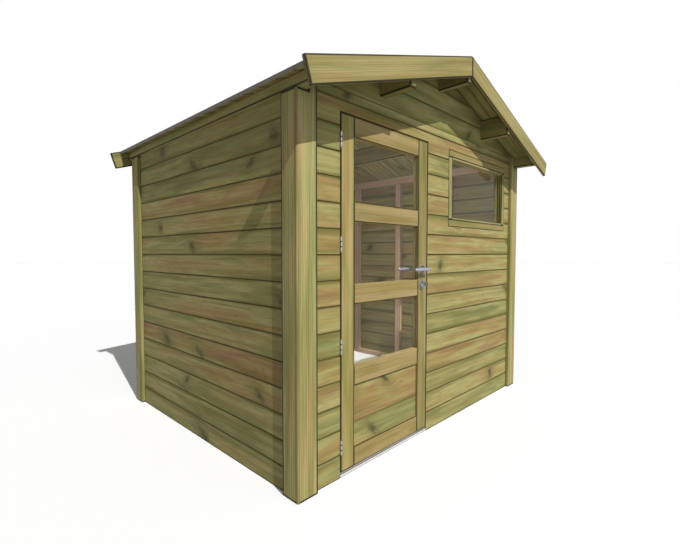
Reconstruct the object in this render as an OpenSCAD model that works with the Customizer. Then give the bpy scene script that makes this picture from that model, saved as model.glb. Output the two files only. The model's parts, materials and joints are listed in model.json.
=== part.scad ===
// Wooden garden shed with a glazed door, one window and a low pitched roof.
// Millimetres, +Z up, front towards -Y, origin on the ground under the middle of the roof.
// Inside site(), X runs from the outer face of the left posts and Y from the front of the front posts.

/* [Building] */
// Width over the outer faces of the corner posts
body_w = 2500; // [2450:10:3000]
// Depth over the outer faces of the corner posts
body_d = 2000; // [1800:10:2600]
// Pitch of the roof in degrees
roof_pitch = 18; // [16:0.5:24]

/* [Corner posts and walls] */
// Width of a corner post across the front
post_w = 128; // [100:1:140]
// Depth of a corner post along the side
post_d = 116; // [100:1:140]
// How far the posts stand proud of the boards
recess = 22; // [10:1:30]
// Thickness of the wall boards
board_t = 18; // [14:1:28]
// Height of the wall over the doorway, up to the gable
over_door_h = 101; // [80:1:200]
// Foot of the gable to the roof surface above the outer faces of the posts
eave_rise = 2; // [0:1:30]

/* [Wall frames] */
// Depth of studs and plates, measured into the room
frame_t = 45; // [30:1:60]
// Height of the sole plates and top plates
plate_h = 45; // [30:1:60]
// Width of a stud
stud_w = 66; // [40:1:90]
// Number of studs in each side wall
side_studs = 3; // [1:1:3]
// Outer face of the back posts to the middle of the first side stud
side_stud_back = 187; // [165:1:250]
// Spacing of the side studs
side_stud_step = 590; // [400:1:620]
// Number of studs in the back wall
back_studs = 3; // [1:1:4]

/* [Roof] */
// Front posts to the face of the front bargeboards
front_overhang = 200; // [150:1:300]
// Back posts to the face of the back bargeboards
back_overhang = 100; // [80:1:200]
// Side posts to the edge of the roof boards
eave_overhang = 57; // [40:1:80]
// Side posts to the tips of the bargeboards
barge_overhang = 125; // [100:1:160]
// Thickness of the roof boards
deck_t = 18; // [15:1:24]
// Thickness of the roofing felt
felt_t = 3; // [2:0.5:5]
// Width of a bargeboard
barge_h = 120; // [90:1:160]
// Thickness of a bargeboard
barge_t = 19; // [15:1:28]
// Side of the battens under the roof boards behind the bargeboards
batten_s = 40; // [30:1:50]
// Thickness of the eave beams
beam_t = 70; // [50:1:100]
// Depth of the eave beams below the roof surface at the outer faces of the posts
beam_drop = 73; // [60:1:110]
// Width of the ridge beam and purlins
purlin_w = 53; // [45:1:90]
// Depth of the ridge beam and purlins on the low side
purlin_h = 129; // [90:1:145]
// Outer faces of the posts to the middle of each purlin
purlin_in = 642; // [600:1:800]

/* [Door] */
// Left posts' outer face to the hinge edge of the leaf
door_x = 307; // [280:1:330]
// Width of the leaf
leaf_w = 793; // [700:1:800]
// Height of the leaf
leaf_h = 1840; // [1780:1:1840]
// Ground to the bottom of the leaf
leaf_z = 28; // [26:1:34]
// Thickness of the leaf
leaf_t = 40; // [36:1:44]
// Width of the stiles
stile_w = 100; // [80:1:120]
// Height of the rails
rail_h = 104; // [80:1:120]
// Gap round the leaf
door_gap = 7; // [7:0.5:9]
// Thickness of the threshold
threshold_h = 20; // [10:1:20]
// Width of a door jamb
jamb_w = 45; // [30:1:50]
// How far the door stops reach into the opening
stop_w = 12; // [8:1:15]
// Depth of the door stops
stop_d = 33; // [20:1:40]
// Gap between the closed leaf and the stops
stop_gap = 6; // [5:0.5:8]
// Number of bays in the leaf, the lowest closed by a panel
panels = 4; // [2:1:5]
// Thickness of the glass panes
glass_t = 4; // [3:0.5:6]
// Thickness of the door's lower panel
panel_t = 18; // [12:1:22]
// How deep panes and panel sit in their grooves
groove_d = 8; // [5:1:12]

/* [Hinges] */
// Height of a hinge
hinge_h = 80; // [60:1:100]
// Radius of the knuckles
knuckle_r = 5.5; // [5:0.5:7]
// Radius of the pin
hinge_pin_r = 3; // [2.5:0.25:3.5]
// Thickness of the hinge plates
hinge_t = 2; // [1.5:0.25:2.5]
// Width of the hinge plates behind the door face
hinge_plate_w = 30; // [20:1:34]
// Ends of the leaf to the middle of the outer hinges
hinge_inset = 136; // [100:1:200]
// Number of hinges
hinges = 4; // [2:1:4]

/* [Lever and lock] */
// Free edge of the leaf to the lever's spindle
backset = 62; // [45:1:65]
// Ground to the lever's spindle
lever_z = 1064; // [1020:1:1090]
// Lever's spindle to the lock cylinder
lock_drop = 91; // [85:1:110]
// Radius of the round roses
rose_r = 28; // [22:1:30]
// Thickness of the roses
rose_t = 8; // [6:1:10]
// Radius of the lever's neck
neck_r = 9; // [8:0.5:10]
// Door face to the middle of the grip
grip_out = 44; // [40:1:60]
// Radius of the grip
grip_r = 10; // [8:0.5:11]
// Spindle to the end of the grip
grip_l = 131; // [110:1:150]
// Spindle to the short end of the grip, towards the free edge of the leaf
grip_tail = 38; // [12:1:40]
// Side of the square spindle
spindle_s = 8; // [7:1:9]
// Room round the spindle in the stile
spindle_room = 4; // [2:0.5:6]
// Radius of the round part of the lock cylinder
cylinder_r = 8.5; // [8:0.5:9]
// How far the lock cylinder stands out of its roses
cylinder_out = 6; // [2:1:8]
// Width of the web below the round part of the cylinder
web_w = 10; // [9:0.5:11]
// Round part's middle to the bottom of the web
web_l = 25; // [22:1:27]
// Radius of the turning plug in the cylinder
plug_r = 6; // [5.5:0.25:6.5]
// Thickness of the key
key_t = 2.4; // [2:0.1:3]
// Width of the key's blade
key_w = 8; // [7:0.5:9]
// Cylinder to the bow of the key
key_collar = 14; // [4:1:18]
// How far the key reaches into the cylinder
key_reach = 24; // [18:1:26]
// Radius of the key's bow
bow_r = 14; // [10:0.5:15]
// Radius of the hole in the bow
bow_hole_r = 4; // [3:0.5:5]

/* [Window] */
// Share of the spare width of the wall beside the door that lies left of the window
window_place = 0.73; // [0.5:0.01:0.75]
// Top of the door leaf up to the top of the casing
window_rise = 9; // [-20:1:20]
// Width over the casing
casing_outer_w = 915; // [700:1:930]
// Height over the casing
casing_outer_h = 528; // [400:1:540]
// Width of a casing board
casing_w = 50; // [40:1:60]
// How far the casing stands out from the boards it is let into
casing_proud = 1; // [0:0.5:6]
// Thickness of the lining boards at the sides, behind the casing
lining_t = 18; // [15:1:22]
// Thickness of the lining boards above and below the glass, which show inside the casing
lining_rail_t = 15; // [12:1:18]
// Back of the wall boards to the glass
pane_back = 14; // [5:1:20]

/* [Clearances] */
// Gap round timbers that pass through a cut-out
fit_gap = 0.5; // [0.3:0.1:1]
// Gap between the roof's sloping layers and what carries them
seat_gap = 0.3; // [0.2:0.1:0.6]
// Gap round glass and panel in their grooves
groove_gap = 0.25; // [0.1:0.05:0.5]
// Gap round the key's blade in the plug
slot_gap = 0.15; // [0.1:0.05:0.3]
// Radial gap of turning metal in its bore
turn_gap = 0.08; // [0.05:0.01:0.1]
// Gap between the knuckles of a hinge
knuckle_gap = 0.5; // [0.3:0.1:0.8]

/* [Hidden] */
$fn = 48;
total_d = front_overhang + body_d + back_overhang;
mid_x = body_w / 2;
rise = tan(roof_pitch);
deck_top = felt_t + seat_gap;
deck_bottom = deck_top + deck_t;
inner = recess + board_t;
room_face = inner + frame_t;
roof_y0 = barge_t - front_overhang;
roof_y1 = body_d + back_overhang - barge_t;

leaf_x1 = door_x + leaf_w;
leaf_y1 = recess + leaf_t;
leaf_top = leaf_z + leaf_h;
gable_z = leaf_top + door_gap + over_door_h;
eave_h = gable_z + eave_rise;
side_wall_h = eave_h - beam_drop;
open_x0 = door_x - door_gap;
open_x1 = leaf_x1 + door_gap;
open_top = leaf_top + door_gap;
panel_gap_h = (leaf_h - (panels + 1) * rail_h) / panels;
panel_pitch = rail_h + panel_gap_h;
jamb_y1 = leaf_y1 + stop_gap + stop_d;

hinge_x = door_x - door_gap / 2;
hinge_y = recess - knuckle_r - knuckle_gap;
hinge_pitch = (leaf_h - 2 * hinge_inset) / (hinges - 1);
knuckles = 3;
knuckle_pitch = (hinge_h + knuckle_gap) / knuckles;

spindle_x = leaf_x1 - backset;
spindle_y = recess + leaf_t / 2;
lock_z = lever_z - lock_drop;
cylinder_y0 = recess - rose_t - cylinder_out;
collar_y0 = cylinder_y0 - key_collar;

window_x = open_x1 + window_place * (body_w - post_w - open_x1 - casing_outer_w);
window_z = leaf_top + window_rise - casing_outer_h;
view_x0 = window_x + casing_w;
view_x1 = window_x + casing_outer_w - casing_w;
view_z0 = window_z + casing_w;
view_z1 = window_z + casing_outer_h - casing_w;
pane_y = inner + pane_back;

pine = "#b5a56a";
green_pine = "#a39a62";
frame_pine = "#b98f6a";
felt_grey = "#4d4b49";
glass_tint = [0.72, 0.76, 0.74, 0.35];
steel = "#c3c5c8";
brass = "#b9a36a";

// Places local coordinates, measured from the front left corner post, in the part's own frame
module site() {
    translate([-body_w / 2, front_overhang - total_d / 2, 0]) children();
}

module box(low, high) {
    translate(low) cube(high - low);
}

// Turns a left-hand shape over to the right-hand side of the building
module right_side() {
    translate([body_w, 0, 0]) mirror([1, 0, 0]) children();
}

module both_sides() {
    children();
    right_side() children();
}

// Extrudes an X-Z outline along Y
module along_y(y0, y1) {
    translate([0, y1, 0]) rotate([90, 0, 0]) linear_extrude(y1 - y0) children();
}

// Round bar along Y
module bar_y(x, z, y0, y1, r) {
    translate([x, y1, z]) rotate([90, 0, 0]) cylinder(r = r, h = y1 - y0);
}

// Height of the roof surface, and of what carries the roof boards
function roof_z(x) = eave_h + min(x, body_w - x) * rise;
function seat_z(x) = roof_z(x) - (deck_bottom + seat_gap) / cos(roof_pitch);

// Point on the left slope: run along the surface from above the post face, and depth below it
function slope(run, depth) = [
    run * cos(roof_pitch) + depth * sin(roof_pitch),
    eave_h + run * sin(roof_pitch) - depth * cos(roof_pitch)
];
function ridge_point(depth) = [mid_x, roof_z(mid_x) - depth / cos(roof_pitch)];

deck_run = -eave_overhang / cos(roof_pitch);
barge_run = -barge_overhang / cos(roof_pitch);

// Roof timbers as outlines, so that what they pass through is cut from the same shape
module eave_beam_outline(gap) {
    polygon([
        [-gap, side_wall_h - gap], [beam_t + gap, side_wall_h - gap],
        [beam_t + gap, seat_z(beam_t + gap) + gap], [-gap, seat_z(-gap) + gap]
    ]);
}

module purlin_outline(gap) {
    x0 = purlin_in - purlin_w / 2;
    x1 = x0 + purlin_w;
    z0 = seat_z(x0) - purlin_h;
    polygon([
        [x0 - gap, z0 - gap], [x1 + gap, z0 - gap],
        [x1 + gap, seat_z(x1 + gap) + gap], [x0 - gap, seat_z(x0 - gap) + gap]
    ]);
}

module ridge_outline(gap) {
    x0 = mid_x - purlin_w / 2 - gap;
    x1 = mid_x + purlin_w / 2 + gap;
    z0 = seat_z(mid_x - purlin_w / 2) - purlin_h - gap;
    polygon([
        [x0, z0], [x1, z0], [x1, seat_z(x1) + gap], [mid_x, seat_z(mid_x) + gap], [x0, seat_z(x0) + gap]
    ]);
}

module roof_timber_outlines(gap) {
    both_sides_flat() eave_beam_outline(gap);
    both_sides_flat() purlin_outline(gap);
    ridge_outline(gap);
}

module both_sides_flat() {
    children();
    translate([body_w, 0]) mirror([1, 0]) children();
}

// Corner posts, notched for the eave beams and cut to the roof slope
module corner_post(y0) {
    notch_x = beam_t + fit_gap;
    notch_z = side_wall_h - fit_gap;
    color(pine) along_y(y0, y0 + post_d)
        polygon([
            [0, 0], [post_w, 0], [post_w, seat_z(post_w)], [notch_x, seat_z(notch_x)],
            [notch_x, notch_z], [0, notch_z]
        ]);
}

module corner_post_front_left() site() corner_post(0);
module corner_post_front_right() site() right_side() corner_post(0);
module corner_post_back_left() site() corner_post(body_d - post_d);
module corner_post_back_right() site() right_side() corner_post(body_d - post_d);

// Wall boards
module side_wall() {
    color(green_pine) box([recess, post_d, 0], [inner, body_d - post_d, side_wall_h]);
}

module left_wall() site() side_wall();
module right_wall() site() right_side() side_wall();

module front_boards(x0, x1, z0, z1) {
    color(green_pine) box([x0, recess, z0], [x1, inner, z1]);
}

module back_wall() site() {
    color(green_pine) box([post_w, body_d - inner, 0], [body_w - post_w, body_d - recess, gable_z]);
}

module gable(y0) {
    color(green_pine) along_y(y0, y0 + board_t) difference() {
        polygon([
            [post_w, gable_z], [body_w - post_w, gable_z], [body_w - post_w, seat_z(post_w)],
            [mid_x, seat_z(mid_x)], [post_w, seat_z(post_w)]
        ]);
        roof_timber_outlines(fit_gap);
    }
}

module front_gable() site() gable(recess);
module back_gable() site() gable(body_d - inner);
module front_wall_left() site() front_boards(post_w, open_x0, 0, gable_z);
module front_wall_over_door() site() front_boards(open_x0, open_x1, open_top, gable_z);

module front_wall_right() site() difference() {
    front_boards(open_x1, body_w - post_w, 0, gable_z);
    box([window_x, 0, window_z], [window_x + casing_outer_w, room_face, window_z + casing_outer_h]);
}

// Frames behind the boards
module side_wall_plates() site() color(frame_pine) both_sides()
    box([inner, post_d, 0], [room_face, body_d - post_d, plate_h]);

// Side studs stand between the sole plate and the eave beam
module side_wall_studs() site() color(frame_pine) both_sides()
    for (i = [0 : side_studs - 1]) {
        y = body_d - side_stud_back - i * side_stud_step;
        box([inner, y - stud_w / 2, plate_h], [room_face, y + stud_w / 2, side_wall_h]);
    }

module back_plate(z) {
    box([post_w, body_d - room_face, z], [body_w - post_w, body_d - inner, z + plate_h]);
}

module back_wall_plates() site() color(frame_pine) {
    back_plate(0);
    back_plate(gable_z - plate_h);
}

module back_wall_studs() site() color(frame_pine) {
    step = (body_w - 2 * post_w) / (back_studs + 1);
    for (i = [1 : back_studs])
        translate([post_w + i * step - stud_w / 2, body_d - room_face, plate_h])
            cube([stud_w, frame_t, gable_z - 2 * plate_h]);
}

module front_plate(x0, x1, z) {
    box([x0, inner, z], [x1, room_face, z + plate_h]);
}

module front_wall_plates() site() color(frame_pine) {
    front_plate(post_w, open_x0 - jamb_w, 0);
    front_plate(open_x1 + jamb_w, body_w - post_w, 0);
    front_plate(post_w, body_w - post_w, gable_z - plate_h);
}

module front_wall_studs() site() color(frame_pine) {
    for (x = [view_x0 - lining_t - stud_w, view_x1 + lining_t])
        translate([x, inner, plate_h]) cube([stud_w, frame_t, gable_z - 2 * plate_h]);
}

module front_wall_rails() site() color(frame_pine) {
    for (z = [view_z0 - plate_h, view_z1])
        front_plate(view_x0 - lining_t, view_x1 + lining_t, z);
}

// Roof
module eave_beams() site() color(pine) both_sides()
    along_y(roof_y0, roof_y1) eave_beam_outline(0);

module purlins() site() color(pine) both_sides()
    along_y(roof_y0, roof_y1) purlin_outline(0);

module ridge_beam() site() color(pine)
    along_y(roof_y0, roof_y1) ridge_outline(0);

// Battens that carry the ends of the roof boards, cut between the roof timbers
module verge_batten_outline() {
    top = deck_bottom + seat_gap;
    bottom = top + batten_s;
    polygon([slope(deck_run, top), slope(deck_run, bottom), ridge_point(bottom), ridge_point(top)]);
}

module verge_battens() site() color(pine)
    for (y = [roof_y0, roof_y1 - batten_s])
        along_y(y, y + batten_s) difference() {
            both_sides_flat() verge_batten_outline();
            roof_timber_outlines(fit_gap);
        }

module roof_deck() {
    color(green_pine) along_y(roof_y0, roof_y1)
        polygon([
            slope(deck_run, deck_top), slope(deck_run, deck_bottom),
            ridge_point(deck_bottom), ridge_point(deck_top)
        ]);
}

module roof_deck_left() site() roof_deck();
module roof_deck_right() site() right_side() roof_deck();

// Felt over both slopes, cut level with the edges of the roof boards
module roof_felt() site() color(felt_grey)
    along_y(roof_y0, roof_y1) both_sides_flat()
        polygon([slope(deck_run, 0), slope(deck_run, felt_t), ridge_point(felt_t), ridge_point(0)]);

// Bargeboards with square tips and a plumb joint at the ridge
module bargeboard(y0) {
    color(pine) along_y(y0, y0 + barge_t)
        polygon([slope(barge_run, 0), slope(barge_run, barge_h), ridge_point(barge_h), ridge_point(0)]);
}

module front_bargeboard_left() site() bargeboard(-front_overhang);
module front_bargeboard_right() site() right_side() bargeboard(-front_overhang);
module back_bargeboard_left() site() bargeboard(roof_y1);
module back_bargeboard_right() site() right_side() bargeboard(roof_y1);

// Door frame, with stops behind the leaf
module door_jamb(x, side) {
    stop_y = leaf_y1 + stop_gap;
    translate([x, 0, 0]) mirror([side < 0 ? 1 : 0, 0, 0]) linear_extrude(open_top)
        polygon([
            [0, inner], [jamb_w, inner], [jamb_w, jamb_y1], [-stop_w, jamb_y1], [-stop_w, stop_y], [0, stop_y]
        ]);
}

module door_jambs() site() color(frame_pine) {
    door_jamb(open_x0, -1);
    door_jamb(open_x1, 1);
}

module door_head() site() color(frame_pine) {
    box([open_x0 - jamb_w, inner, open_top], [open_x1 + jamb_w, jamb_y1, gable_z - plate_h]);
}

module threshold() site() color(pine) {
    box([open_x0, recess, 0], [open_x1, leaf_y1, threshold_h]);
}

// Door leaf: what fills a bay sits in grooves cut from its own grown shape
module bay_fill(bay, thick, gap) {
    z0 = leaf_z + rail_h + bay * panel_pitch;
    box(
        [door_x + stile_w - groove_d - gap, spindle_y - thick / 2 - gap, z0 - groove_d - gap],
        [leaf_x1 - stile_w + groove_d + gap, spindle_y + thick / 2 + gap, z0 + panel_gap_h + groove_d + gap]
    );
}

module bay_fills(gap) {
    bay_fill(0, panel_t, gap);
    for (bay = [1 : panels - 1]) bay_fill(bay, glass_t, gap);
}

module door_stiles() site() color(pine) difference() {
    for (x = [door_x, leaf_x1 - stile_w])
        box([x, recess, leaf_z], [x + stile_w, leaf_y1, leaf_top]);
    bay_fills(groove_gap);
    bar_y(spindle_x, lever_z, 0, jamb_y1, spindle_s / 2 + spindle_room);
    cylinder_shape(groove_gap);
}

module door_rails() site() color(pine) difference() {
    for (i = [0 : panels])
        translate([door_x + stile_w, recess, leaf_z + i * panel_pitch])
            cube([leaf_w - 2 * stile_w, leaf_t, rail_h]);
    bay_fills(groove_gap);
}

module door_panes() site() color(glass_tint)
    for (bay = [1 : panels - 1]) bay_fill(bay, glass_t, 0);

module door_panel() site() color(green_pine) bay_fill(0, panel_t, 0);

// Hinges: plates in the gap beside the leaf, knuckles just in front of the door face
module at_hinges() {
    for (i = [0 : hinges - 1])
        translate([hinge_x, hinge_y, leaf_z + hinge_inset + i * hinge_pitch - hinge_h / 2]) children();
}

module knuckle(i) {
    translate([0, 0, i * knuckle_pitch]) cylinder(r = knuckle_r, h = knuckle_pitch - knuckle_gap);
}

// Plate on one side of the hinge axis, with its lug to a knuckle
module hinge_plate(side, z0, z1) {
    x = side * door_gap / 2;
    plate_y = recess - hinge_y;
    box([min(x, x - side * hinge_t), plate_y, 0], [max(x, x - side * hinge_t), plate_y + hinge_plate_w, hinge_h]);
    box([min(x, x - side * hinge_t), 0, z0], [max(x, x - side * hinge_t), plate_y, z1]);
}

module hinge_frame_plates() site() color(steel) at_hinges() {
    for (i = [0, knuckles - 1]) {
        knuckle(i);
        hinge_plate(-1, i * knuckle_pitch, (i + 1) * knuckle_pitch - knuckle_gap);
    }
    cylinder(r = hinge_pin_r, h = hinge_h);
}

module hinge_door_plates() site() color(steel) at_hinges() difference() {
    union() {
        knuckle(1);
        hinge_plate(1, knuckle_pitch, 2 * knuckle_pitch - knuckle_gap);
    }
    translate([0, 0, -1]) cylinder(r = hinge_pin_r + turn_gap, h = hinge_h + 2);
}

// Lever set: a rose, a neck and a straight grip with round ends on each face, on one square spindle
module on_both_faces() {
    children();
    translate([0, 2 * spindle_y, 0]) mirror([0, 1, 0]) children();
}

module rose(z, hole_r) {
    difference() {
        bar_y(spindle_x, z, recess - rose_t, recess, rose_r);
        bar_y(spindle_x, z, recess - 2 * rose_t, recess + rose_t, hole_r);
    }
}

module lever_roses() site() color(steel) on_both_faces() rose(lever_z, neck_r + turn_gap);

module door_lever() site() color(steel) {
    on_both_faces() {
        bar_y(spindle_x, lever_z, recess - grip_out, recess, neck_r);
        translate([spindle_x - grip_l + grip_r, recess - grip_out, lever_z]) {
            sphere(r = grip_r);
            rotate([0, 90, 0]) cylinder(r = grip_r, h = grip_l + grip_tail - 2 * grip_r);
        }
        translate([spindle_x + grip_tail - grip_r, recess - grip_out, lever_z]) sphere(r = grip_r);
    }
    box(
        [spindle_x - spindle_s / 2, recess, lever_z - spindle_s / 2],
        [spindle_x + spindle_s / 2, leaf_y1, lever_z + spindle_s / 2]
    );
}

// Lock: round roses, a cylinder with a web below its round part, and the plug that the key turns
module cylinder_shape(gap) {
    y1 = 2 * spindle_y - cylinder_y0;
    bar_y(spindle_x, lock_z, cylinder_y0, y1, cylinder_r + gap);
    box(
        [spindle_x - web_w / 2 - gap, cylinder_y0, lock_z - web_l - gap],
        [spindle_x + web_w / 2 + gap, y1, lock_z]
    );
}

module lock_roses() site() color(steel) difference() {
    on_both_faces() bar_y(spindle_x, lock_z - (web_l - cylinder_r) / 2, recess - rose_t, recess, rose_r);
    cylinder_shape(groove_gap);
}

module lock_cylinder() site() color(steel) difference() {
    cylinder_shape(0);
    bar_y(spindle_x, lock_z, cylinder_y0 - rose_t, cylinder_y0 + key_reach + key_t, plug_r + turn_gap);
}

module key_blade(gap) {
    box(
        [spindle_x - key_t / 2 - gap, collar_y0, lock_z - key_w / 2 - gap],
        [spindle_x + key_t / 2 + gap, cylinder_y0 + key_reach + gap, lock_z + key_w / 2 + gap]
    );
}

module lock_plug() site() color(brass) difference() {
    bar_y(spindle_x, lock_z, cylinder_y0, cylinder_y0 + key_reach + key_t - turn_gap, plug_r);
    key_blade(slot_gap);
}

module bow_disc(y, r, thick) {
    translate([spindle_x - thick / 2, y, lock_z]) rotate([0, 90, 0]) cylinder(r = r, h = thick);
}

module key() site() color(steel) difference() {
    union() {
        key_blade(0);
        bow_disc(collar_y0 - bow_r + key_t, bow_r, key_t);
    }
    bow_disc(collar_y0 - bow_r, bow_hole_r, 2 * key_t);
}

// Window: casing let into the boards, lining boards round the view, glass in a groove of the lining
module window_casing_rails() site() color(pine)
    for (z = [window_z, view_z1])
        box([window_x, recess - casing_proud, z], [window_x + casing_outer_w, inner, z + casing_w]);

module window_casing_stiles() site() color(pine)
    for (x = [window_x, view_x1])
        box([x, recess - casing_proud, view_z0], [x + casing_w, inner, view_z1]);

module pane_shape(gap) {
    edge = groove_d + gap;
    box(
        [view_x0 - edge, pane_y - gap, view_z0 + lining_rail_t - edge],
        [view_x1 + edge, pane_y + glass_t + gap, view_z1 - lining_rail_t + edge]
    );
}

module window_lining_rails() site() color(pine) difference() {
    for (z = [view_z0, view_z1 - lining_rail_t])
        box([view_x0, recess, z], [view_x1, room_face, z + lining_rail_t]);
    pane_shape(groove_gap);
}

module window_lining_stiles() site() color(pine) difference() {
    for (x = [view_x0 - lining_t, view_x1])
        box([x, inner, view_z0], [x + lining_t, room_face, view_z1]);
    pane_shape(groove_gap);
}

module window_pane() site() color(glass_tint) pane_shape(0);

corner_post_front_left();
corner_post_front_right();
corner_post_back_left();
corner_post_back_right();
left_wall();
right_wall();
back_wall();
back_gable();
front_wall_left();
front_wall_over_door();
front_wall_right();
front_gable();
side_wall_plates();
side_wall_studs();
back_wall_plates();
back_wall_studs();
front_wall_plates();
front_wall_studs();
front_wall_rails();
eave_beams();
purlins();
ridge_beam();
verge_battens();
roof_deck_left();
roof_deck_right();
roof_felt();
front_bargeboard_left();
front_bargeboard_right();
back_bargeboard_left();
back_bargeboard_right();
door_jambs();
door_head();
threshold();
door_stiles();
door_rails();
door_panes();
door_panel();
hinge_frame_plates();
hinge_door_plates();
lever_roses();
door_lever();
lock_roses();
lock_cylinder();
lock_plug();
key();
window_casing_rails();
window_casing_stiles();
window_lining_rails();
window_lining_stiles();
window_pane();
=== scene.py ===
import contextlib
import json
import math

import bmesh
import bpy
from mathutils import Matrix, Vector

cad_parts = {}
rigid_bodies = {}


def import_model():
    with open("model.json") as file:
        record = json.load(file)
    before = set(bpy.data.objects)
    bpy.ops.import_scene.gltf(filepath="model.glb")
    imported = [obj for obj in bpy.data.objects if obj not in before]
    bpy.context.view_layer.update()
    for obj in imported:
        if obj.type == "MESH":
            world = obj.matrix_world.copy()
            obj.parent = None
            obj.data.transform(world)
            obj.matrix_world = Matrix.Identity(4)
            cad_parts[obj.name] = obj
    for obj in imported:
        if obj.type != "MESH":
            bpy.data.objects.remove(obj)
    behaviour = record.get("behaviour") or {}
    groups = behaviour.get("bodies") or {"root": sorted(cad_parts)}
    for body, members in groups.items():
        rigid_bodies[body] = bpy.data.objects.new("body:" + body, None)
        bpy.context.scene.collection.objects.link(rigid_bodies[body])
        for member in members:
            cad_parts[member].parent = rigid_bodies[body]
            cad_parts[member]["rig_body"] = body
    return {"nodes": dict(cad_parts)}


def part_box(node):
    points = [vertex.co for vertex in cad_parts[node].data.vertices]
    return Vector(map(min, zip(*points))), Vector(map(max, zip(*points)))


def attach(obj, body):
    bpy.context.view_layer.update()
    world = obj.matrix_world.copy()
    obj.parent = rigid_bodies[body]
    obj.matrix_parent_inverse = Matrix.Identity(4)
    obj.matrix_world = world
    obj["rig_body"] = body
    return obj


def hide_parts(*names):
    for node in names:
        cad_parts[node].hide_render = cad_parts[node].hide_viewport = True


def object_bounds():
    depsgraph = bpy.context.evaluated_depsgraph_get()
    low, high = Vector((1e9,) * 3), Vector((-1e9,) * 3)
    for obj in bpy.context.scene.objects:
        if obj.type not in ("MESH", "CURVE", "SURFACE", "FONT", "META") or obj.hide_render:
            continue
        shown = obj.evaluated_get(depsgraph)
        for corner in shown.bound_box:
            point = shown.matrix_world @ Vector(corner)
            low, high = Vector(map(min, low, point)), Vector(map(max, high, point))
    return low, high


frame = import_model()
cad_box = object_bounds()

# Axes, and the places of a piece's face, edge and bare materials
X, Y, Z = 0, 1, 2
FACE, EDGE, BARE = 0, 1, 2

# How closely a normal or an edge follows an axis
ALIGNED = 0.99
MAINLY = 0.9
SQUARE_TO = 0.01

# Merging of the CAD meshes, and shading
MERGE = 0.00001
FLAT_ANGLE = math.radians(1)
SMOOTH_ANGLE = math.radians(40)

# Boards, in metres
BOARD_COVER = 0.1291
FIRST_JOINT = 0.123
JOINT_SLACK = 0.001
BOARD_GAP = 0.0008
BOARD_SKIN = 0.0001
CHAMFER = 0.0045
TONGUE = 0.006
SHOULDER = 0.003
OVERSHOOT = 0.02
OUT_OF_REACH = 1.0
PANEL_JOINT = 0.259
PANEL_COVER = 2 * BOARD_COVER
PANEL_BOARDS = 2
PANEL_SEED = 331.0

# Eased edges of the timbers, and the dark lines beside them
ARRIS = 0.0055
FINE_ARRIS = 0.0035
CASING_ARRIS = 0.006
METAL_ARRIS = 0.0006
EASED_ANGLE = math.radians(40)
EDGE_LINE = 0.003
WIDE_LINE = 0.006
LINED_WIDTH = 0.022
RAIL_FRONT = 0.02
PALE_TOPS = (0.4, 1.16)
BEAM_CROWN = 0.03
POST_CROWN = 0.045

# Door
STILE_W = 0.1
HINGES = 4
HINGE_H = 0.08
HINGE_GAP = 0.007
KNUCKLES = 3
KNUCKLE_R = 0.0055
KNUCKLE_GAP = 0.0005
KNUCKLE_RIM = 0.0026
PIN_R = 0.003
PIN_TIP = 0.0022
PLATE_T = 0.002
PLATE_CORNER = 0.005
SCREW_R = 0.0034
SCREW_SIDES = 20
SCREW_PROUD = 0.0004
SCREW_PLACES = ((0.18, -0.004), (0.5, 0.006), (0.82, -0.004))  # share of the height, way off the middle
SOCKET_RIM = 0.45
SOCKET_DEPTH = 0.8
ROSE_T = 0.008
ROSE_SIDES = 64
COLLAR_R = 0.0135
COLLAR_H = 0.0022
RIM = 0.0018
NECK_R = 0.009
NECK_WAIST = 0.82
GRIP_R = 0.01
ROUND_END = 0.96
SPINDLE = 0.008
KEY_BOW = 0.0255

# Roof
ROOF_PITCH = math.radians(18)
EAVE_HALF = -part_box("corner_post_front_left")[0].x
EAVE_Z = cad_box[1].z - EAVE_HALF * math.tan(ROOF_PITCH)
RIDGE_RUN = EAVE_HALF / math.cos(ROOF_PITCH)
ROOF_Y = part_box("roof_felt")[1].y
ROOF_BOARD_T = 0.018
EAVE_SPARE = 0.2
RIDGE_SPARE = 0.1
FELT = 0.003
FELT_GAP = 0.0003
FELT_LAYER = 0.0012
FELT_LAP = 0.075
RIDGE_CAP = 0.15

# Knots of the boards: how often they come, how big they are and how ragged
BOARD_KNOTS = 0.36
FRONT_KNOTS = 0.2
PANEL_KNOTS = 0.8
KNOT_STEP = 0.7
PANEL_KNOT_STEP = 0.4
KNOT_W = 0.034
SIDE_KNOT_W = 0.055
KNOT_H = 0.054
KNOT_SHIFT = 7.31
KNOT_PLACES = (0.2, 0.8)
KNOT_SIZES = (0.6, 1.3)
KNOT_SLANT = 1.3
KNOT_FRAY = (70.0, 50.0)
KNOT_RAGGED = 0.9
KNOT_HALO = (0.6, 3.6)
KNOT_CORE = (-0.1, 1.3)
KNOT_PUSH = 0.35

# Grain: each figure's stretch along and across the board and its offset, and the step that it is drawn with
GRAIN_SHIFT = 5.17
WANDER = (1.1, 7.0, 0.0)
RIPPLE = (4.0, 40.0, 3.0)
STREAK = (1.5, 75.0, 11.0)
PATCH = (2.0, 15.0, 23.0)
BAND = (0.9, 27.0, 41.0)
RING_STEP = (-0.1, 1.0)
STREAK_STEP = (0.32, 0.7)
PATCH_STEP = (0.3, 0.7)
BAND_STEP = (0.42, 0.66)
FINE_DETAIL = (5.0, 0.6)
SOFT_DETAIL = (2.0, 0.5)
RIPPLE_TURNS = 1.2
HEART_DEPTH = 0.05
HEART_SWAY = (0.035, 0.05)
FINE_RING = 0.0055
WIDE_RING = 0.009

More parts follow.
